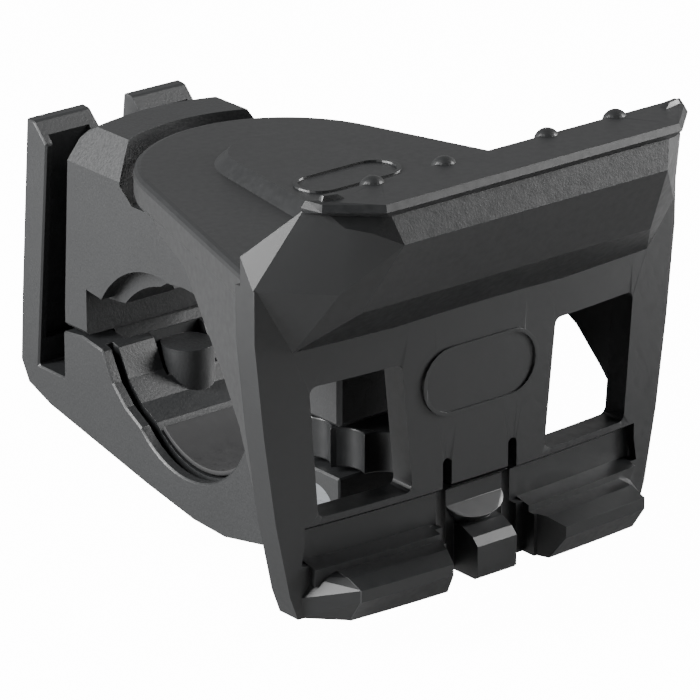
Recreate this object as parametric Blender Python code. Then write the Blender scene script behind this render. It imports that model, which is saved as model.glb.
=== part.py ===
"""Handlebar lamp mount: a clamp for a round bar, and a swivel arm with a lamp plate.

Metres, +Z up. The bar's axis is the X axis, through the origin. The lamp plate faces -Y.
"""

import math

import bmesh
import bpy
from mathutils import Vector

mm = 0.001

# The bar and the clamp
bar_diameter = 22.2 * mm
pad_thickness = 0.9 * mm
body_half_width = 11.5 * mm
body_front = -28.5 * mm
body_rear = 24.0 * mm
body_top = 26.1 * mm
crease_height = 0.4 * mm
parting_gap = 0.8 * mm
fit_gap = 0.3 * mm

# The swivel
swivel_y = -4.5 * mm
disc_radius = 17.6 * mm
cradle_radius = 20.3 * mm
cradle_floor = 19.4 * mm
arm_top = 26.1 * mm
arm_thickness = 4.0 * mm
blister_height = 1.5 * mm
spigot_radius = 6.0 * mm
spigot_bottom = 17.1 * mm
swivel_seat = 14.8 * mm

# The lamp plate
face_y = -39.7 * mm
plate_thickness = 3.3 * mm
face_bend = 3.9  # curvature of the plate about a vertical axis, 1/m
tongue_half_width = 4.2 * mm
slot_width = 1.3 * mm
slot_top = 0.9 * mm
tongue_hinge_height = -2.1 * mm
tongue_hinge_y = face_y + 1.6 * mm

# The jaw's hinge and the clamp screw
hinge_y, hinge_z = 20.4 * mm, -3.8 * mm
hinge_pin_radius = 1.0 * mm
lug_radius = 2.7 * mm
lug_half_width = 7.0 * mm
screw_y = -24.2 * mm
screw_radius = 1.9 * mm
screw_seat = 11.4 * mm
wheel_radius = 11.3 * mm
wheel_low, wheel_high = -2.3 * mm, 2.7 * mm
flute_count = 16
barrel_z = -8.2 * mm
barrel_radius = 3.2 * mm

# The line of the plain oval badges
badge_line = 0.55 * mm

ring_steps = 48


def clear_scene():
    for item in list(bpy.data.objects):
        bpy.data.objects.remove(item, do_unlink=True)


def make_material(name, colour, roughness, metallic=0.0):
    made = bpy.data.materials.new(name)
    made.use_nodes = True
    shader = made.node_tree.nodes["Principled BSDF"]
    shader.inputs["Base Color"].default_value = (*colour, 1.0)
    shader.inputs["Roughness"].default_value = roughness
    shader.inputs["Metallic"].default_value = metallic
    return made


def add_object(name, mesh_data, material=None, origin=(0, 0, 0)):
    """Makes an object of a bmesh whose points are in world places, with its origin where asked."""
    bmesh.ops.remove_doubles(mesh_data, verts=mesh_data.verts, dist=1e-7)
    bmesh.ops.recalc_face_normals(mesh_data, faces=mesh_data.faces)
    bmesh.ops.translate(mesh_data, vec=-Vector(origin), verts=mesh_data.verts)
    mesh = bpy.data.meshes.new(name)
    mesh_data.to_mesh(mesh)
    mesh_data.free()
    made = bpy.data.objects.new(name, mesh)
    made.location = origin
    bpy.context.scene.collection.objects.link(made)
    if material:
        mesh.materials.append(material)
    return made


def scaled(points):
    """The same points, given in millimetres, in metres."""
    return [tuple(number * mm for number in point) for point in points]


def prism(name, outline, low, high, axis="X", material=None, origin=(0, 0, 0)):
    """Extrudes a closed outline along an axis; the outline's two numbers are the other two axes in order."""
    place = {
        "X": lambda p, t: (t, p[0], p[1]),
        "Y": lambda p, t: (p[0], t, p[1]),
        "Z": lambda p, t: (p[0], p[1], t),
    }[axis]
    shape = bmesh.new()
    near = [shape.verts.new(place(p, low)) for p in outline]
    far = [shape.verts.new(place(p, high)) for p in outline]
    shape.faces.new(near)
    shape.faces.new(far)
    count = len(outline)
    for i in range(count):
        j = (i + 1) % count
        shape.faces.new((near[i], near[j], far[j], far[i]))
    return add_object(name, shape, material, origin)


def arc(centre, radius, start, end, steps):
    """Points on an arc, angles in degrees."""
    angles = [math.radians(start + (end - start) * i / steps) for i in range(steps + 1)]
    return [(centre[0] + radius * math.cos(a), centre[1] + radius * math.sin(a)) for a in angles]


def circle(centre, radius, steps=ring_steps):
    return arc(centre, radius, 0, 360, steps)[:-1]


def rounded(outline, radius, steps=4):
    """A convex outline with its corners rounded."""
    made = []
    for i, point in enumerate(outline):
        corner = Vector(point)
        before = (Vector(outline[i - 1]) - corner).normalized()
        after = (Vector(outline[(i + 1) % len(outline)]) - corner).normalized()
        half = math.acos(before.dot(after)) / 2
        centre = corner + (before + after).normalized() * (radius / math.sin(half))
        start = corner + before * (radius / math.tan(half)) - centre
        turn = math.degrees(math.pi - 2 * half)
        if before.x * after.y - before.y * after.x > 0:
            turn = -turn
        first = math.degrees(math.atan2(start.y, start.x))
        made += arc(centre, radius, first, first + turn, steps)
    return made


def oval(centre, half_width, half_height):
    """A slot-shaped outline, round at both ends."""
    straight = half_width - half_height
    right = arc((centre[0] + straight, centre[1]), half_height, -90, 90, 12)
    return right + arc((centre[0] - straight, centre[1]), half_height, 90, 270, 12)


def turned(name, profile, centre, axis="Z", material=None, steps=ring_steps):
    """Spins a closed (radius, height) profile round an axis through the centre."""
    shape = bmesh.new()
    rings = []
    for step in range(steps):
        angle = 2 * math.pi * step / steps
        ring = []
        for radius, height in profile:
            across, up = radius * math.cos(angle), radius * math.sin(angle)
            point = (across, up, height) if axis == "Z" else (height, across, up)
            ring.append(shape.verts.new(Vector(centre) + Vector(point)))
        rings.append(ring)
    for step in range(steps):
        ring, following = rings[step], rings[(step + 1) % steps]
        for i in range(len(profile)):
            j = (i + 1) % len(profile)
            shape.faces.new((ring[i], ring[j], following[j], following[i]))
    bmesh.ops.remove_doubles(shape, verts=shape.verts, dist=1e-7)
    bmesh.ops.dissolve_degenerate(shape, edges=shape.edges, dist=1e-7)
    made = add_object(name, shape, material, centre)
    for face in made.data.polygons:
        face.use_smooth = True
    return made


def hull(name, points, material=None):
    shape = bmesh.new()
    for point in points:
        shape.verts.new(point)
    found = bmesh.ops.convex_hull(shape, input=shape.verts)
    bmesh.ops.delete(shape, geom=list(set(found["geom_interior"])), context="VERTS")
    bmesh.ops.dissolve_limit(shape, angle_limit=0.002, verts=shape.verts, edges=shape.edges)
    return add_object(name, shape, material)


def combine(target, tool, operation):
    change = target.modifiers.new(operation.lower() + " " + tool.name, "BOOLEAN")
    change.operation = operation
    change.object = tool
    tool.hide_render = True
    tool.display_type = "WIRE"


def cut(target, tool):
    combine(target, tool, "DIFFERENCE")


def join(target, tool):
    combine(target, tool, "UNION")


def bevel(target, width, segments=1):
    change = target.modifiers.new("Edge break", "BEVEL")
    change.width = width
    change.segments = segments
    change.limit_method = "ANGLE"
    change.angle_limit = math.radians(25)
    change.harden_normals = False


def clamp_body(material):
    """The upper clamp half: the roof of the bar channel, the crescent cradle and the screw's lug."""
    roof = body_top
    lug_under = wheel_high + 0.5 * mm
    outline = [
        (body_rear, crease_height),
        (body_rear, roof),
        (8 * mm, roof),
        (-12 * mm, cradle_floor),
        (body_front + 3 * mm, 15.4 * mm),
        (body_front, 12.0 * mm),
        (body_front, lug_under),
        (-10 * mm, lug_under),
        (-10 * mm, crease_height),
    ]
    body = prism("clamp_body", outline, -body_half_width, body_half_width, "X", material)
    bevel(body, 0.5 * mm)
    for side in (-1, 1):
        corner = [
            (side * 8.9 * mm, roof + 2 * mm),
            (side * 8.9 * mm, roof),
            (side * body_half_width, roof - 4.3 * mm),
            (side * (body_half_width + 2 * mm), roof - 4.3 * mm),
            (side * (body_half_width + 2 * mm), roof + 2 * mm),
        ]
        cut(body, prism(f"rim chamfer cutter {side}", corner, 5 * mm, 30 * mm, "Y"))
    shoulder = [
        (25.9 * mm, roof + 2 * mm),
        (25.9 * mm, roof),
        (27.3 * mm, roof - 0.7 * mm),
        (28.3 * mm, roof - 1.7 * mm),
        (29.3 * mm, roof - 4.2 * mm),
        (30.4 * mm, crease_height),
        (40.0 * mm, crease_height),
        (40.0 * mm, roof + 2 * mm),
    ]
    cut(body, turned("shoulder cutter", shoulder, (0, swivel_y, 0), steps=96))
    cradle = [
        (0, cradle_floor),
        (cradle_radius - 1.9 * mm, cradle_floor),
        (cradle_radius, cradle_floor + 1.9 * mm),
        (cradle_radius, roof + 5 * mm),
        (0, roof + 5 * mm),
    ]
    cut(body, turned("cradle cutter", cradle, (0, swivel_y, 0), steps=72))
    channel_radius = bar_diameter / 2 + pad_thickness
    cut(body, prism("bar channel cutter", circle((0, 0), channel_radius, 60), -20 * mm, 20 * mm))
    rear_arch = [(19.2 * mm, -3 * mm), (19.2 * mm, 6.3 * mm), (16.8 * mm, 6.0 * mm)]
    rear_arch += arc((5.4 * mm, -0.6 * mm), 12.6 * mm, 31, 120, 16) + [(0, -3 * mm)]
    for side in (-1, 1):
        ends = sorted((side * 9.6 * mm, side * 20 * mm))
        cut(body, prism(f"arch recess cutter {side}", rear_arch, *ends))
    inner_arch = scaled([(19.2, -3), (19.2, 6.3), (17.0, 5.3)])
    inner_arch += arc((4.4 * mm, -2.6 * mm), 12.6 * mm, 41, 82, 8) + [(4.4 * mm, -3 * mm)]
    cut(body, prism("inner arch cutter", inner_arch, -20 * mm, 20 * mm))
    socket = spigot_radius + fit_gap
    spigot_hole = [
        (0, 5 * mm),
        (5.6 * mm, 5 * mm),
        (5.6 * mm, swivel_seat),
        (2.2 * mm, swivel_seat),
        (2.2 * mm, spigot_bottom - fit_gap),
        (socket, spigot_bottom - fit_gap),
        (socket, 30 * mm),
        (0, 30 * mm),
    ]
    cut(body, turned("spigot hole cutter", spigot_hole, (0, swivel_y, 0)))
    screw_way = [
        (0, -5 * mm),
        (screw_radius + 0.4 * mm, -5 * mm),
        (screw_radius + 0.4 * mm, screw_seat),
        (4.4 * mm, screw_seat),
        (4.4 * mm, 30 * mm),
        (0, 30 * mm),
    ]
    cut(body, turned("screw way cutter", screw_way, (0, screw_y, 0), steps=32))
    lug = arc((hinge_y, hinge_z), lug_radius, 180, 360, 16)
    lug += [(hinge_y + lug_radius, 5 * mm), (19.8 * mm, 5 * mm), (19.8 * mm, 0)]
    lug += [(hinge_y - lug_radius, -2 * mm)]
    join(body, prism("hinge lug", lug, -lug_half_width, lug_half_width))
    pin_hole = circle((hinge_y, hinge_z), hinge_pin_radius + fit_gap, 24)
    cut(body, prism("hinge hole cutter", pin_hole, -20 * mm, 20 * mm))
    return body


def jaw_outline():
    """The lower jaw's side, from the front under the bar, up the ears and back along the saddle."""
    front_top = wheel_low - 0.6 * mm
    under = [(-28.5 * mm, -9.6 * mm), (-22 * mm, -13.4 * mm), (-14 * mm, -15.9 * mm)]
    under += [(-7 * mm, -17.2 * mm), (-1 * mm, -16.9 * mm), (8 * mm, -15.2 * mm)]
    rear = scaled([(27, -11), (31.4, -9.3), (32.9, -6.6), (32.4, 2)])
    ears = scaled([(30.6, 25.0), (29.1, 24.9), (26.7, 22.5), (29.2, -6.4)])
    knuckle = [(body_rear, -6.4 * mm), (body_rear, crease_height - parting_gap)]
    knuckle += [(20.2 * mm, crease_height - fit_gap - 0.05 * mm)]
    saddle = scaled([(16.2, -0.6), (14.2, -4.2), (11.7, -6.6), (8.6, -8.3)])
    saddle += arc((0, 0), bar_diameter / 2 + pad_thickness, -45, -163, 18)
    return under + rear + ears + knuckle + saddle + [(-12.4 * mm, front_top), (-28.5 * mm, front_top)]


def lower_jaw(material):
    """The lower clamp half with its two upright ears, the hinge cheeks and the barrel nut's bore."""
    origin = (0, hinge_y, hinge_z)
    jaw = prism("lower_jaw", jaw_outline(), -body_half_width, body_half_width, "X", material, origin)
    bevel(jaw, 0.4 * mm)
    gap = [
        (-2.4 * mm, 1.5 * mm),
        (2.4 * mm, 1.5 * mm),
        (3.4 * mm, 30 * mm),
        (-3.4 * mm, 30 * mm),
    ]
    cut(jaw, prism("ear gap cutter", gap, 25.2 * mm, 40 * mm, "Y"))
    screw_slot = arc((0, screw_y + 0.9 * mm), 2.8 * mm, 0, 180, 12)
    screw_slot += arc((0, screw_y - 0.9 * mm), 2.8 * mm, 180, 360, 12)
    cut(jaw, prism("screw slot cutter", screw_slot, -30 * mm, 10 * mm, "Z"))
    barrel_bore = circle((screw_y, barrel_z), barrel_radius + fit_gap, 32)
    cut(jaw, prism("barrel bore cutter", barrel_bore, -20 * mm, 20 * mm))
    groove = scaled([(16.9, 4), (17.4, -1.2), (15.4, -5.6), (12.6, -8.4)])
    groove += arc((0, 0), bar_diameter / 2 + pad_thickness + 1.5 * mm, -42, -150, 18) + [(0, 4 * mm)]
    for side in (-1, 1):
        ends = sorted((side * 9.1 * mm, side * 10.2 * mm))
        cut(jaw, prism(f"side groove cutter {side}", groove, *ends))
    pocket = scaled([(17.1, 4), (17.1, -4.9), (11.6, -4.9), (11.6, 4)])
    cut(jaw, prism("post pocket cutter", pocket, -3.8 * mm, 3.8 * mm))
    post = circle((0, 14.4 * mm), 3.3 * mm, 32)
    join(jaw, prism("saddle post", post, -7 * mm, -1.7 * mm, "Z"))
    for side in (-1, 1):
        inset = scaled([(24.5, 23.4), (27.7, 23.4), (29.9, -3.0), (24.5, -3.0)])
        ends = sorted((side * 4.4 * mm, side * 10.5 * mm))
        cut(jaw, prism(f"ear inset cutter {side}", inset, *ends))
    room = arc((hinge_y, hinge_z), lug_radius + 0.45 * mm, 180, 360, 16)
    room += [(hinge_y + lug_radius + 0.45 * mm, 5 * mm), (hinge_y - lug_radius - 0.45 * mm, 5 * mm)]
    side = lug_half_width + fit_gap
    cut(jaw, prism("lug room cutter", room, -side, side))
    pin_hole = circle((hinge_y, hinge_z), hinge_pin_radius + fit_gap, 24)
    cut(jaw, prism("cheek hole cutter", pin_hole, -9.8 * mm, 20 * mm))
    return jaw


def rod(name, radius, low, high, centre, axis, material, steps=32):
    profile = [(0, low), (radius, low), (radius, high), (0, high)]
    return turned(name, profile, centre, axis, material, steps)


def clamp_hardware(steel, nylon, rubber):
    """The hinge pin, the bar pads, and the screw with its wheel, washer and barrel nut."""
    hinge = (0, hinge_y, hinge_z)
    rod("jaw_hinge_pin", hinge_pin_radius, -9.5 * mm, 11.2 * mm, hinge, "X", steel, 24)
    grip = bar_diameter / 2
    back = grip + pad_thickness - fit_gap
    for name, start, end in (("upper_bar_pad", 62, 163), ("lower_bar_pad", -137, -48)):
        ring = arc((0, 0), back, start, end, 24) + arc((0, 0), grip, end, start, 24)
        prism(name, ring, -9 * mm, 9 * mm, "X", rubber)
    foot = (0, screw_y, 0)
    head_low = screw_seat + 1.1 * mm
    screw = [
        (0, -15.0 * mm),
        (screw_radius - 0.5 * mm, -15.0 * mm),
        (screw_radius, -14.5 * mm),
        (screw_radius, head_low),
        (3.5 * mm, head_low),
        (3.5 * mm, head_low + 1.9 * mm),
        (3.1 * mm, head_low + 2.3 * mm),
        (0, head_low + 2.3 * mm),
    ]
    turned("clamp_screw", screw, foot, "Z", steel, 32)
    washer = [(screw_radius + fit_gap, screw_seat + fit_gap), (4.1 * mm, screw_seat + fit_gap)]
    washer += [(4.1 * mm, screw_seat + 0.8 * mm), (screw_radius + fit_gap, screw_seat + 0.8 * mm)]
    turned("screw_washer", washer, foot, "Z", steel, 32)
    thumb_wheel(nylon)
    barrel = rod("barrel_nut", barrel_radius, -10.6 * mm, 10.6 * mm, (0, screw_y, barrel_z), "X", steel)
    screw_way = circle((0, screw_y), 2.75 * mm, 32)
    cut(barrel, prism("barrel way cutter", screw_way, -20 * mm, 0, "Z"))


def thumb_wheel(material):
    """A scalloped wheel: its rim is a ring of shallow round flutes."""
    outline = []
    for step in range(flute_count * 10):
        angle = 2 * math.pi * step / (flute_count * 10)
        scallop = abs(math.cos(angle * flute_count / 2)) ** 0.7
        radius = wheel_radius - 1.3 * mm * scallop
        outline.append((radius * math.cos(angle), screw_y + radius * math.sin(angle)))
    wheel = prism("thumb_wheel", outline, wheel_low, wheel_high, "Z", material, (0, screw_y, 0))
    bore = circle((0, screw_y), screw_radius + fit_gap, 32)
    cut(wheel, prism("wheel bore cutter", bore, -20 * mm, 20 * mm, "Z"))
    return wheel


def arm_half_width(y):
    """The arm's outer side line: a tangent from the disc that spreads towards the plate."""
    return 18.48 * mm - 0.32 * (y - swivel_y)


def bent(name, outline, low, high, stations=16, material=None):
    """Extrudes a (y, z) outline along X, following the plate's bend."""
    shape = bmesh.new()
    rings = []
    for step in range(stations + 1):
        x = low + (high - low) * step / stations
        shift = face_bend * x * x / 2
        rings.append([shape.verts.new((x, y + shift, z)) for y, z in outline])
    count = len(outline)
    for ring, following in zip(rings, rings[1:]):
        for i in range(count):
            j = (i + 1) % count
            shape.faces.new((ring[i], ring[j], following[j], following[i]))
    shape.faces.new(rings[0])
    shape.faces.new(rings[-1])
    return add_object(name, shape, material)


def plate_outline(inset):
    """The plate's tapering outline in X and Z, drawn in by an inset in millimetres."""
    half = [(25.2, -14.0), (26.6, -10.0), (28.4, -1.0), (29.9, 10.0), (31.0, 21.0), (31.0, 28.0)]
    return scaled([(x - inset, z) for x, z in half]) + scaled([(inset - x, z) for x, z in reversed(half)])


def plate_solid():
    """The curved plate below the hook, trimmed to its tapering outline, with a plain oval badge."""
    back = face_y + plate_thickness
    wing_top = 27.2 * mm
    profile = [(face_y, -13.0 * mm), (face_y, wing_top), (back, wing_top), (back, -13.0 * mm)]
    plate = bent("plate", profile, -34 * mm, 34 * mm, 20)
    combine(plate, prism("plate outline", plate_outline(0), -60 * mm, -20 * mm, "Y"), "INTERSECT")
    plate_badge = oval((0, 10.8 * mm), 8.6 * mm, 4.1 * mm)
    join(plate, badge("plate badge", plate_badge, face_y - 0.15 * mm, face_y + 1 * mm, "Y"))
    return plate


def mirrored(points):
    return [(side * x * mm, y * mm, z * mm) for side in (-1, 1) for x, y, z in points]


def hook_block():
    """The forward hook along the plate's top: a blunt prow, hollow behind, with a sloped underside."""
    corners = [
        (13.0, -39.45, 19.1),
        (26.1, -38.45, 19.1),
        (26.1, -36.8, 19.1),
        (21.2, -44.3, 24.3),
        (24.5, -44.5, 27.2),
        (31.0, -37.6, 27.2),
        (31.0, -35.4, 24.0),
        (31.0, -35.4, 30.6),
        (19.2, -49.1, 33.1),
        (22.2, -47.3, 34.6),
        (24.5, -45.4, 35.2),
        (20.4, -48.0, 36.8),
        (25.6, -43.5, 36.8),
        (27.2, -41.6, 36.8),
    ]
    hook = hull("hook block", mirrored(corners))
    inner = scaled([(-30, 26.9), (-43.2, 26.9), (-46.4, 33.0), (-46.0, 35.8), (-30, 35.8)])
    cut(hook, prism("hook hollow cutter", inner, -20.5 * mm, 20.5 * mm))
    return hook


def hook_lip():
    """The thin cap on the hook, which stands a little proud of it all round the front."""
    corners = [
        (20.8, -48.4, 36.5),
        (25.9, -43.8, 36.5),
        (27.3, -41.7, 36.5),
        (21.5, -48.9, 37.2),
        (26.7, -44.2, 37.1),
        (27.6, -41.7, 37.2),
        (21.3, -48.5, 38.0),
        (26.4, -43.9, 37.9),
        (27.3, -42.1, 38.1),
    ]
    return hull("hook lip", mirrored(corners))


def hook_end(side):
    """The low lump that ends the lip's rear edge."""
    corners = [(22.4, -44.4, 37.4), (22.4, -42.8, 37.4), (26.5, -43.6, 37.4), (26.5, -42.6, 37.4)]
    corners += [(24.2, -43.8, 38.6), (24.2, -43.1, 38.6), (25.8, -43.4, 38.6), (25.8, -42.9, 38.6)]
    return hull(f"hook end {side}", [(side * x * mm, y * mm, z * mm) for x, y, z in corners])


def ledge(side):
    """One bottom ledge: a rail, then a lip that turns forward under the lamp and runs out to the corner."""
    inner, outer = 6.6 * mm, 21.2 * mm
    lip = scaled([(-38, -7.6), (-42.9, -7.9), (-45.2, -8.7), (-45.2, -10.1), (-43.2, -13), (-38, -13)])
    shelf = bent(f"ledge {side}", lip, *sorted((side * inner, side * outer)), 6)
    inner_end = [(side * x * mm, y * mm) for x, y in ((6.0, -41.6), (7.0, -41.6), (9.2, -47.0), (6.0, -47.0))]
    cut(shelf, prism(f"ledge end cutter {side}", inner_end, -20 * mm, 0, "Z"))
    rail = scaled([(-37.8, -6.4), (-40.7, -7.0), (-40.7, -9.0), (-37.8, -9.0)])
    join(shelf, bent(f"ledge rail {side}", rail, *sorted((side * inner, side * 24.0 * mm)), 6))
    shift = face_bend * outer * outer / 2
    end = [(side * (outer - 0.2 * mm), y + shift, z) for y, z in lip]
    corner = [(25.3, -37.9, -13), (25.5, -37.9, -10.6), (24.0, -37.6, -8.4), (23.0, -37.6, -13)]
    end += [(side * x * mm, y * mm, z * mm) for x, y, z in corner]
    join(shelf, hull(f"ledge corner {side}", end))
    return shelf


def lower_recess(side):
    """A cutter for the shallow recess above a ledge, with a sloping outer end."""
    profile = scaled([(-50, -2.1), (-39.7, -2.1), (-38.5, -2.9), (-38.5, -6.8), (-50, -6.8)])
    recess = bent(f"lower recess cutter {side}", profile, *sorted((side * 5 * mm, side * 24.6 * mm)), 6)
    slope = [(24.0, -50, -2.1), (25.0, -50, -2.1), (26.2, -50, -6.8), (24.0, -50, -6.8)]
    slope += [(24.0, -37.5, -2.9), (24.3, -37.5, -2.9), (25.0, -37.5, -6.8), (24.0, -37.5, -6.8)]
    join(recess, hull(f"recess slope {side}", [(side * x * mm, y * mm, z * mm) for x, y, z in slope]))
    return recess


def badge(name, outline, low, high, axis):
    """A plain raised line along an outline."""
    middle = sum((Vector(point) for point in outline), Vector((0, 0))) / len(outline)
    inside = []
    for point in outline:
        spoke = Vector(point) - middle
        inside.append(tuple(middle + spoke * (1 - badge_line / spoke.length)))
    ring = prism(name, outline, low, high, axis)
    cut(ring, prism(name + " inside", inside, low - 1 * mm, high + 1 * mm, axis))
    return ring


def swivel_arm(material):
    """The hood with its side webs, and the lamp plate, as one moulding that turns on the spigot."""
    origin = (0, swivel_y, 0)
    front = -37.4 * mm
    spread = math.degrees(math.atan(0.32))
    top = arc((0, swivel_y), disc_radius, spread, 180 - spread, 48)
    top += [(-arm_half_width(front), front), (arm_half_width(front), front)]
    arm = prism("swivel_arm", top, arm_top - arm_thickness, arm_top, "Z", material, origin)
    bevel(arm, 0.9 * mm, 3)
    blister_low = arc((0, swivel_y), 8.2 * mm, 0, 180, 24) + [(-13.6 * mm, -37 * mm), (13.6 * mm, -37 * mm)]
    blister_high = arc((0, swivel_y), 6.6 * mm, 0, 180, 24) + [(-11.6 * mm, -37 * mm), (11.6 * mm, -37 * mm)]
    layers = [(x, y, arm_top - 1 * mm) for x, y in blister_low] + [(x, y, arm_top) for x, y in blister_low]
    layers += [(x, y, arm_top + blister_height) for x, y in blister_high]
    join(arm, hull("blister", layers))
    for side in (-1, 1):
        join(arm, side_web(side))
    join(arm, plate_solid())
    join(arm, hook_block())
    for x in (-17.7, -7.5, 7.5, 17.7):
        rib = scaled([(-44.0, 26.5), (-47.2, 33.2), (-46.6, 36.4), (-41.9, 37.0), (-38.2, 26.5)])
        join(arm, prism(f"rib {x}", rib, (x - 0.8) * mm, (x + 0.8) * mm))
    join(arm, hook_lip())
    nub = [(0, 36 * mm)] + arc((0, 37.2 * mm), 1.55 * mm, 0, 90, 8)
    for x in (-17.7, -7.5, 7.5, 17.7):
        join(arm, turned(f"nub {x}", nub, (x * mm, -41.9 * mm, 0), steps=20))
    for side in (-1, 1):
        join(arm, hook_end(side))
        cut(arm, lower_recess(side))
        join(arm, ledge(side))
    for side in (-1, 1):
        window = [(side * 11.4, 14.4), (side * 24.0, 14.5), (side * 22.8, -1.3), (side * 9.8, -1.3)]
        hole = rounded([(x * mm, z * mm) for x, z in window], 0.9 * mm)
        cut(arm, prism(f"window cutter {side}", hole, -60 * mm, -30 * mm, "Y"))
    slot_middle = tongue_half_width + slot_width / 2
    notch_top = tongue_hinge_height + fit_gap
    notch = [(-tongue_half_width - slot_width, -30 * mm)]
    notch += arc((-slot_middle, slot_top), slot_width / 2, 180, 0, 10)
    notch += [(-tongue_half_width, notch_top), (tongue_half_width, notch_top)]
    notch += arc((slot_middle, slot_top), slot_width / 2, 180, 0, 10)
    notch += [(tongue_half_width + slot_width, -30 * mm)]
    cut(arm, prism("tongue notch cutter", notch, -60 * mm, -30 * mm, "Y"))
    hood_top = arm_top + blister_height
    hood_badge = oval((0, -16.0 * mm), 7.2 * mm, 2.9 * mm)
    join(arm, badge("hood badge", hood_badge, hood_top - 0.5 * mm, hood_top + 0.25 * mm, "Z"))
    spigot = [(0, spigot_bottom), (spigot_radius - 0.4 * mm, spigot_bottom)]
    spigot += [(spigot_radius, spigot_bottom + 0.4 * mm), (spigot_radius, 24 * mm), (0, 24 * mm)]
    join(arm, turned("spigot", spigot, (0, swivel_y, 0)))
    screw_hole = circle((0, swivel_y), 1.9 * mm, 24)
    cut(arm, prism("spigot screw cutter", screw_hole, 10 * mm, 24.6 * mm, "Z"))
    return arm


def side_web(side):
    """A slanted triangular wall that ties the hood's edge down to the plate's back."""
    thickness = 2.4 * mm
    corners = [(1.0, 25.0), (-4.5, 21.6), (-12.6, 20.4), (-15.9, 17.9), (-23.3, 12.6), (-29.0, 7.6)]
    corners += [(-32.2, 3.0), (-37.6, -6.0), (-37.6, 25.0)]
    shape = bmesh.new()
    outer, inner = [], []
    for y, z in corners:
        x = side * (arm_half_width(y * mm) - 0.05 * mm)
        outer.append(shape.verts.new((x, y * mm, z * mm)))
        inner.append(shape.verts.new((x - side * thickness, y * mm, z * mm)))
    shape.faces.new(outer)
    shape.faces.new(inner)
    for i in range(len(corners)):
        j = (i + 1) % len(corners)
        shape.faces.new((outer[i], outer[j], inner[j], inner[i]))
    web = add_object(f"side web {side}", shape)
    combine(web, prism(f"web outline {side}", plate_outline(0.15), -60 * mm, 10 * mm, "Y"), "INTERSECT")
    return web


def latch_tongue(material):
    """The sprung tongue between the ledges: it bends back about its upper end to free the lamp."""
    back = face_y + plate_thickness - 0.4 * mm
    recess_y = -38.6 * mm
    outline = [
        (back, tongue_hinge_height),
        (face_y, tongue_hinge_height),
        (recess_y, tongue_hinge_height - 0.8 * mm),
        (recess_y, -12.6 * mm),
        (back, -12.6 * mm),
    ]
    origin = (0, tongue_hinge_y, tongue_hinge_height)
    tongue = prism("latch_tongue", outline, -tongue_half_width, tongue_half_width, "X", material, origin)
    join(tongue, finger_scoop(recess_y))
    knob = scaled([(-38, -7.0), (-40.2, -7.3), (-41.9, -8.0), (-42.8, -8.9)])
    knob += scaled([(-42.8, -12.6), (-42.4, -13.0), (-38, -13.0)])
    join(tongue, prism("tongue knob", knob, -2.95 * mm, 2.95 * mm))
    return tongue


def finger_scoop(back):
    """A crescent shelf above the knob, sloping down and forward to a round edge."""
    reach, drop, under = 2.1 * mm, 1.5 * mm, 1.3 * mm
    shape = []
    for x, lean in arc((0, 0), 1.0, 0, 180, 14):
        across = x * (tongue_half_width - 0.05 * mm)
        shape.append((across, back - lean * reach, -4.9 * mm - lean * drop))
        shape.append((across * 0.8, back - lean * reach * 0.3, -4.9 * mm - lean * drop - under))
    shape += [(side * tongue_half_width * 0.9, back + 0.5 * mm, -5.4 * mm) for side in (-1, 1)]
    return hull("finger scoop", shape)


def swivel_hardware(steel, rubber):
    """The screw that holds the spigot from below, its washer, and the friction ring under the disc."""
    centre = (0, swivel_y, 0)
    head_top = swivel_seat - 0.9 * mm
    screw = [
        (0, head_top - 1.6 * mm),
        (3.4 * mm, head_top - 1.6 * mm),
        (3.8 * mm, head_top - 1.2 * mm),
        (3.8 * mm, head_top),
        (1.5 * mm, head_top),
        (1.5 * mm, 23.6 * mm),
        (0, 23.6 * mm),
    ]
    turned("swivel_screw", screw, centre, "Z", steel, 32)
    washer = [(1.8 * mm, head_top + 0.1 * mm), (5.2 * mm, head_top + 0.1 * mm)]
    washer += [(5.2 * mm, swivel_seat - 0.1 * mm), (1.8 * mm, swivel_seat - 0.1 * mm)]
    turned("swivel_washer", washer, centre, "Z", steel, 32)
    middle = (8.3 * mm, (cradle_floor + arm_top - arm_thickness) / 2)
    ring = circle(middle, (arm_top - arm_thickness - cradle_floor) / 2 - 0.15 * mm, 12)
    turned("friction_ring", ring, centre, "Z", rubber)


def main():
    clear_scene()
    nylon = make_material("glass filled nylon", (0.035, 0.036, 0.038), 0.55)
    satin = make_material("satin moulded nylon", (0.042, 0.043, 0.045), 0.42)
    rubber = make_material("moulded rubber", (0.018, 0.018, 0.019), 0.8)
    steel = make_material("zinc plated steel", (0.55, 0.56, 0.58), 0.32, 1.0)
    clamp_body(nylon)
    lower_jaw(nylon)
    clamp_hardware(steel, nylon, rubber)
    swivel_hardware(steel, rubber)
    swivel_arm(satin)
    latch_tongue(satin)


main()
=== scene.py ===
import math

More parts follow.
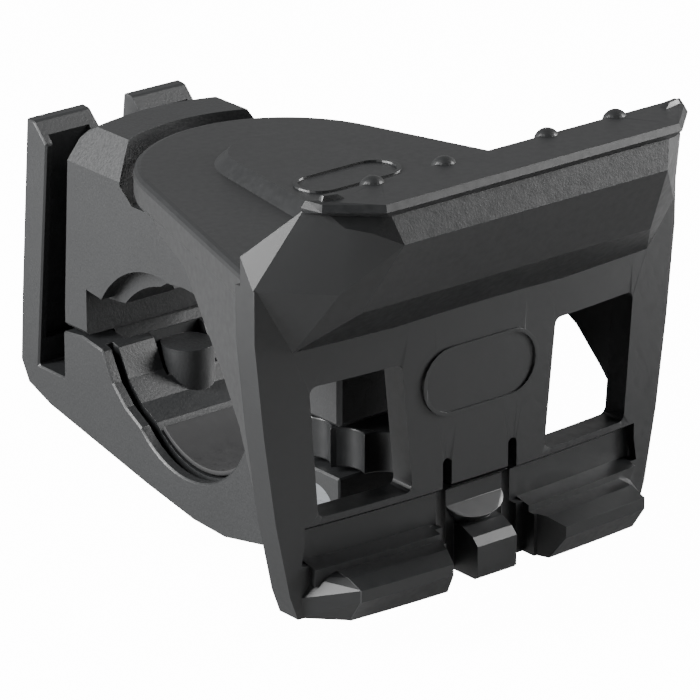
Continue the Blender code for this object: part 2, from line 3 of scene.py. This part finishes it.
import bmesh
import bpy
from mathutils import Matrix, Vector


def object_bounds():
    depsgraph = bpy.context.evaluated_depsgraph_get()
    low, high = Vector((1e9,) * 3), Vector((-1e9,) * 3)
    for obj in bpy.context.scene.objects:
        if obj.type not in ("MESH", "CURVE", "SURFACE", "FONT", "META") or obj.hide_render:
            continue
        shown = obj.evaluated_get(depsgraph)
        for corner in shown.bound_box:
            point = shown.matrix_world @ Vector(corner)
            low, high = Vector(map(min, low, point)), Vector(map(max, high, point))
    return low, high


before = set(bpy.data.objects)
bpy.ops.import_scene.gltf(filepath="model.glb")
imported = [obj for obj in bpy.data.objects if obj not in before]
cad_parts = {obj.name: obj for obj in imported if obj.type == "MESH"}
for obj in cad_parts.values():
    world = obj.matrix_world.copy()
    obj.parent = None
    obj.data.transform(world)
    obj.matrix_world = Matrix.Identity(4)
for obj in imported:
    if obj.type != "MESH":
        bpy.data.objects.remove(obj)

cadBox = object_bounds()
mm = 0.001


def linear(hexColour):
    # sRGB hex to linear values
    parts = [int(hexColour[i:i + 2], 16) / 255 for i in (1, 3, 5)]
    return [c / 12.92 if c <= 0.04045 else ((c + 0.055) / 1.055) ** 2.4 for c in parts] + [1.0]


def addNode(tree, kind, settings=None, inputs=None, links=None):
    # one node with its settings, its fixed inputs, and the sockets that feed it
    node = tree.nodes.new(kind)
    for name, value in (settings or {}).items():
        setattr(node, name, value)
    for name, value in (inputs or {}).items():
        node.inputs[name].default_value = value
    for name, source in (links or {}).items():
        tree.links.new(source, node.inputs[name])
    return node


def startMaterial(name, shaderInputs):
    made = bpy.data.materials.new(name)
    made.use_nodes = True
    tree = made.node_tree
    shader = tree.nodes["Principled BSDF"]
    for socket, value in shaderInputs.items():
        shader.inputs[socket].default_value = value
    objectPlace = addNode(tree, "ShaderNodeTexCoord").outputs["Object"]
    return made, tree, shader, objectPlace


def noise(tree, place, width, detail, roughness=0.5):
    return addNode(tree, "ShaderNodeTexNoise", inputs={
        "Scale": 1 / width, "Detail": detail, "Roughness": roughness}, links={"Vector": place}).outputs["Fac"]


def cloudedColour(tree, shader, factor, first, second):
    # the base colour wanders between two shades
    mix = addNode(tree, "ShaderNodeMix", {"data_type": "RGBA"}, {
        "A": linear(first), "B": linear(second)}, {"Factor": factor})
    tree.links.new(mix.outputs["Result"], shader.inputs["Base Color"])


def spread(tree, factor, low, high):
    # the middle of a noise, where nearly all of it lies, carried to a range
    carried = addNode(tree, "ShaderNodeMapRange", inputs={
        "From Min": 0.3, "From Max": 0.7, "To Min": low, "To Max": high}, links={"Value": factor})
    return carried.outputs["Result"]


# Glass-filled nylon, injection moulded in a spark-eroded tool: an even matt grain that breaks each
# highlight into fine sparkle, over a faint cloudiness where the glass lies near the skin.
# The grain is drawn coarser than real, so that it shows.
grainedNylon = {
    "colour": "#141516", "paleColour": "#1c1d1e", "roughness": (0.40, 0.52), "grainWidth": 0.36 * mm,
    "grainHeight": 0.05 * mm, "grainStrength": 0.5, "cloudWidth": 7 * mm,
}


def makeGrainedNylon(values):
    made, tree, shader, place = startMaterial("glass-filled nylon, spark-eroded grain", {"IOR": 1.53})
    cloud = noise(tree, place, values["cloudWidth"], 4.0, 0.6)
    cloudedColour(tree, shader, cloud, values["colour"], values["paleColour"])
    grain = noise(tree, place, values["grainWidth"], 2.0, 0.6)
    tree.links.new(spread(tree, grain, *values["roughness"]), shader.inputs["Roughness"])
    bump = addNode(tree, "ShaderNodeBump", inputs={
        "Strength": values["grainStrength"], "Distance": values["grainHeight"]}, links={"Height": grain})
    tree.links.new(bump.outputs["Normal"], shader.inputs["Normal"])
    return made


# Nylon moulded against a satin tool: smoother and a little deeper in colour, with soft broad highlights.
# A band of spark-eroded grain runs along the front of the hook.
satinNylon = {
    "colour": "#0f1011", "paleColour": "#151617", "roughness": (0.36, 0.44), "skinWidth": 0.9 * mm,
    "skinHeight": 0.006 * mm, "grainWidth": 0.3 * mm, "grainHeight": 0.022 * mm, "cloudWidth": 11 * mm,
    "skinStrength": 0.3, "bandLow": 33.1 * mm, "bandHigh": 36.6 * mm, "bandFront": -47.4 * mm,
}


def stepMask(tree, value, edge, operation):
    return addNode(tree, "ShaderNodeMath", {"operation": operation}, {1: edge}, {0: value}).outputs[0]


def product(tree, first, second):
    return addNode(tree, "ShaderNodeMath", {"operation": "MULTIPLY"}, None, {0: first, 1: second}).outputs[0]


def makeSatinNylon(values):
    made, tree, shader, place = startMaterial("nylon, satin moulded", {"IOR": 1.53})
    cloud = noise(tree, place, values["cloudWidth"], 3.0)
    cloudedColour(tree, shader, cloud, values["colour"], values["paleColour"])
    axes = addNode(tree, "ShaderNodeSeparateXYZ", links={"Vector": place})
    above = stepMask(tree, axes.outputs["Z"], values["bandLow"], "GREATER_THAN")
    below = stepMask(tree, axes.outputs["Z"], values["bandHigh"], "LESS_THAN")
    ahead = stepMask(tree, axes.outputs["Y"], values["bandFront"], "LESS_THAN")
    band = product(tree, product(tree, above, below), ahead)
    skin = noise(tree, place, values["skinWidth"], 2.0)
    tree.links.new(spread(tree, skin, *values["roughness"]), shader.inputs["Roughness"])
    skinBump = addNode(tree, "ShaderNodeBump", inputs={
        "Strength": values["skinStrength"], "Distance": values["skinHeight"]}, links={"Height": skin})
    grain = noise(tree, place, values["grainWidth"], 2.0, 0.6)
    grainBump = addNode(tree, "ShaderNodeBump", inputs={"Distance": values["grainHeight"]}, links={
        "Height": grain, "Strength": band, "Normal": skinBump.outputs["Normal"]})
    tree.links.new(grainBump.outputs["Normal"], shader.inputs["Normal"])
    return made


# Moulded rubber: dull and soft, with a dusty bloom that lifts its edges.
mouldedRubber = {
    "colour": "#111112", "paleColour": "#1b1b1c", "roughness": (0.66, 0.8), "bloomWidth": 1.6 * mm,
    "bloomHeight": 0.02 * mm, "bloomStrength": 0.3,
}


def makeRubber(values):
    made, tree, shader, place = startMaterial("rubber, compression moulded", {"IOR": 1.52})
    bloom = noise(tree, place, values["bloomWidth"], 5.0, 0.65)
    cloudedColour(tree, shader, bloom, values["colour"], values["paleColour"])
    tree.links.new(spread(tree, bloom, *values["roughness"]), shader.inputs["Roughness"])
    bump = addNode(tree, "ShaderNodeBump", inputs={
        "Strength": values["bloomStrength"], "Distance": values["bloomHeight"]}, links={"Height": bloom})
    tree.links.new(bump.outputs["Normal"], shader.inputs["Normal"])
    return made


# Steel, zinc plated and clear passivated: bright, slightly blue grey, with turning marks under the plate.
zincSteel = {
    "colour": "#b9bcc0", "darkColour": "#9fa3a8", "roughness": (0.26, 0.38), "markWidth": 0.25 * mm,
    "markStretch": (0.15, 0.15, 1.0), "markHeight": 0.008 * mm, "markStrength": 0.2,
}


def makeZincSteel(values):
    made, tree, shader, place = startMaterial("steel, zinc plated", {"Metallic": 1.0})
    marks = addNode(tree, "ShaderNodeMapping", None, {"Scale": values["markStretch"]}, {"Vector": place})
    grain = noise(tree, marks.outputs["Vector"], values["markWidth"], 3.0)
    cloudedColour(tree, shader, grain, values["colour"], values["darkColour"])
    tree.links.new(spread(tree, grain, *values["roughness"]), shader.inputs["Roughness"])
    bump = addNode(tree, "ShaderNodeBump", inputs={
        "Strength": values["markStrength"], "Distance": values["markHeight"]}, links={"Height": grain})
    tree.links.new(bump.outputs["Normal"], shader.inputs["Normal"])
    return made


materials = {
    "grained": makeGrainedNylon(grainedNylon),
    "satin": makeSatinNylon(satinNylon),
    "rubber": makeRubber(mouldedRubber),
    "steel": makeZincSteel(zincSteel),
}

# Finish, edge radius in mm and its segments for each CAD piece
finishes = {
    "clamp_body": ("grained", 0.32, 3),
    "lower_jaw": ("grained", 0.32, 3),
    "swivel_arm": ("satin", 0.34, 3),
    "latch_tongue": ("satin", 0.22, 3),
    "thumb_wheel": ("satin", 0.25, 3),
    "upper_bar_pad": ("rubber", 0.12, 2),
    "lower_bar_pad": ("rubber", 0.12, 2),
    "friction_ring": ("rubber", 0.0, 0),  # round already
    "clamp_screw": ("steel", 0.12, 2),
    "swivel_screw": ("steel", 0.12, 2),
    "barrel_nut": ("steel", 0.2, 2),
    "jaw_hinge_pin": ("steel", 0.12, 2),
    "screw_washer": ("steel", 0.08, 2),
    "swivel_washer": ("steel", 0.08, 2),
}


edgeWork = {"mergeDistance": 0.002 * mm, "flatAngle": math.radians(0.6), "edgeAngle": math.radians(12)}


def softenEdges(piece, width, segments):
    # the tool's radius on outer edges, as far as the nearest short edge lets it grow
    weld = piece.modifiers.new("Weld", "WELD")
    weld.merge_threshold = edgeWork["mergeDistance"]
    flat = piece.modifiers.new("Flat faces", "DECIMATE")
    flat.decimate_type = "DISSOLVE"
    flat.angle_limit = edgeWork["flatAngle"]
    piece.modifiers.new("Triangles", "TRIANGULATE")  # a bevel on a face with a hole in it can close the hole
    edge = piece.modifiers.new("Moulded edge", "BEVEL")
    edge.width = width
    edge.segments = segments
    edge.limit_method = "ANGLE"
    edge.angle_limit = edgeWork["edgeAngle"]
    edge.use_clamp_overlap = True
    edge.miter_outer = "MITER_ARC"
    shade = piece.modifiers.new("Even shading", "WEIGHTED_NORMAL")
    shade.keep_sharp = False


for name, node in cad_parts.items():
    finish, radius, segments = finishes[name]
    node.data.materials.clear()
    node.data.materials.append(materials[finish])
    if segments:
        softenEdges(node, radius * mm, segments)
    for face in node.data.polygons:
        face.use_smooth = True
print("materials done")

# Floor, light and camera
stageValues = {
    "floorColour": "#989898", "floorHalfSize": 3.0, "floorGlow": 14.0,  # the glow shows the sweep as white
    "worldStrength": 0.44, "darkSide": (-0.72, -0.68, 0.1), "darkStrength": 0.1,
}
low, high = (Vector(corner) for corner in cadBox)
centre = (low + high) / 2


def makeFloor():
    size = stageValues["floorHalfSize"]
    mesh = bpy.data.meshes.new("floor")
    mesh.from_pydata([(-size, -size, low.z), (size, -size, low.z), (size, size, low.z), (-size, size, low.z)],
                     [], [(0, 1, 2, 3)])
    floor = bpy.data.objects.new("floor", mesh)
    bpy.context.scene.collection.objects.link(floor)
    sweep, tree, shader, _ = startMaterial("white paper sweep, lit from behind", {
        "Base Color": linear(stageValues["floorColour"]), "Roughness": 0.9,
        "Emission Color": linear("#ffffff")})
    seen = addNode(tree, "ShaderNodeLightPath").outputs["Is Camera Ray"]
    glow = addNode(tree, "ShaderNodeMath", {"operation": "MULTIPLY"}, {
        1: stageValues["floorGlow"]}, {0: seen})
    tree.links.new(glow.outputs[0], shader.inputs["Emission Strength"])
    mesh.materials.append(sweep)


def makeWorld():
    # a white room with one dark side, so that black plastic keeps its contrast
    world = bpy.data.worlds.new("studio")
    world.use_nodes = True
    tree = world.node_tree
    direction = addNode(tree, "ShaderNodeTexCoord").outputs["Generated"]
    side = Vector(stageValues["darkSide"]).normalized()
    facing = addNode(tree, "ShaderNodeVectorMath", {"operation": "DOT_PRODUCT"}, {1: side}, {0: direction})
    strength = addNode(tree, "ShaderNodeMapRange", {"interpolation_type": "SMOOTHSTEP"}, {
        "From Min": 0.1, "From Max": 0.85, "To Min": stageValues["worldStrength"],
        "To Max": stageValues["darkStrength"]}, {"Value": facing.outputs["Value"]})
    seen = addNode(tree, "ShaderNodeLightPath").outputs["Is Camera Ray"]
    shown = addNode(tree, "ShaderNodeMix", {"data_type": "FLOAT"}, {"B": 1.0}, {
        "Factor": seen, "A": strength.outputs["Result"]})
    tree.links.new(shown.outputs["Result"], tree.nodes["Background"].inputs["Strength"])
    tree.nodes["Background"].inputs["Color"].default_value = linear("#ffffff")
    bpy.context.scene.world = world


# Place from the object's centre and size, in metres, and power in watts
lights = {
    "strip behind left": ((-0.38, 0.13, 0.18), (0.14, 0.34), 8.0),
    "panel right": ((0.42, -0.20, 0.14), (0.12, 0.40), 5.2),
}


def areaLight(name, place, size, power):
    data = bpy.data.lights.new(name, "AREA")
    data.shape = "RECTANGLE"
    data.size, data.size_y = size
    data.energy = power
    light = bpy.data.objects.new(name, data)
    light.location = centre + Vector(place)
    light.rotation_euler = (-Vector(place)).to_track_quat("-Z", "Y").to_euler()
    bpy.context.scene.collection.objects.link(light)


cameraValues = {
    "azimuth": 39.4, "elevation": 21.23, "distance": 0.60018, "lens": 280.6, "sensorWidth": 36,
    "nearest": 0.01, "aim": Vector((-19.14, -39.75, 18.15)) * mm,
}


def makeCamera():
    turn, rise = math.radians(cameraValues["azimuth"]), math.radians(cameraValues["elevation"])
    ahead = Vector((math.sin(turn) * math.cos(rise), math.cos(turn) * math.cos(rise), -math.sin(rise)))
    data = bpy.data.cameras.new("camera")
    data.lens = cameraValues["lens"]
    data.sensor_width = cameraValues["sensorWidth"]
    data.clip_start = cameraValues["nearest"]
    camera = bpy.data.objects.new("camera", data)
    camera.location = cameraValues["aim"] - ahead * cameraValues["distance"]
    camera.rotation_euler = ahead.to_track_quat("-Z", "Y").to_euler()
    bpy.context.scene.collection.objects.link(camera)
    bpy.context.scene.camera = camera


makeFloor()
makeWorld()
for lightName, (place, size, power) in lights.items():
    areaLight(lightName, place, size, power)
makeCamera()
print("stage done")
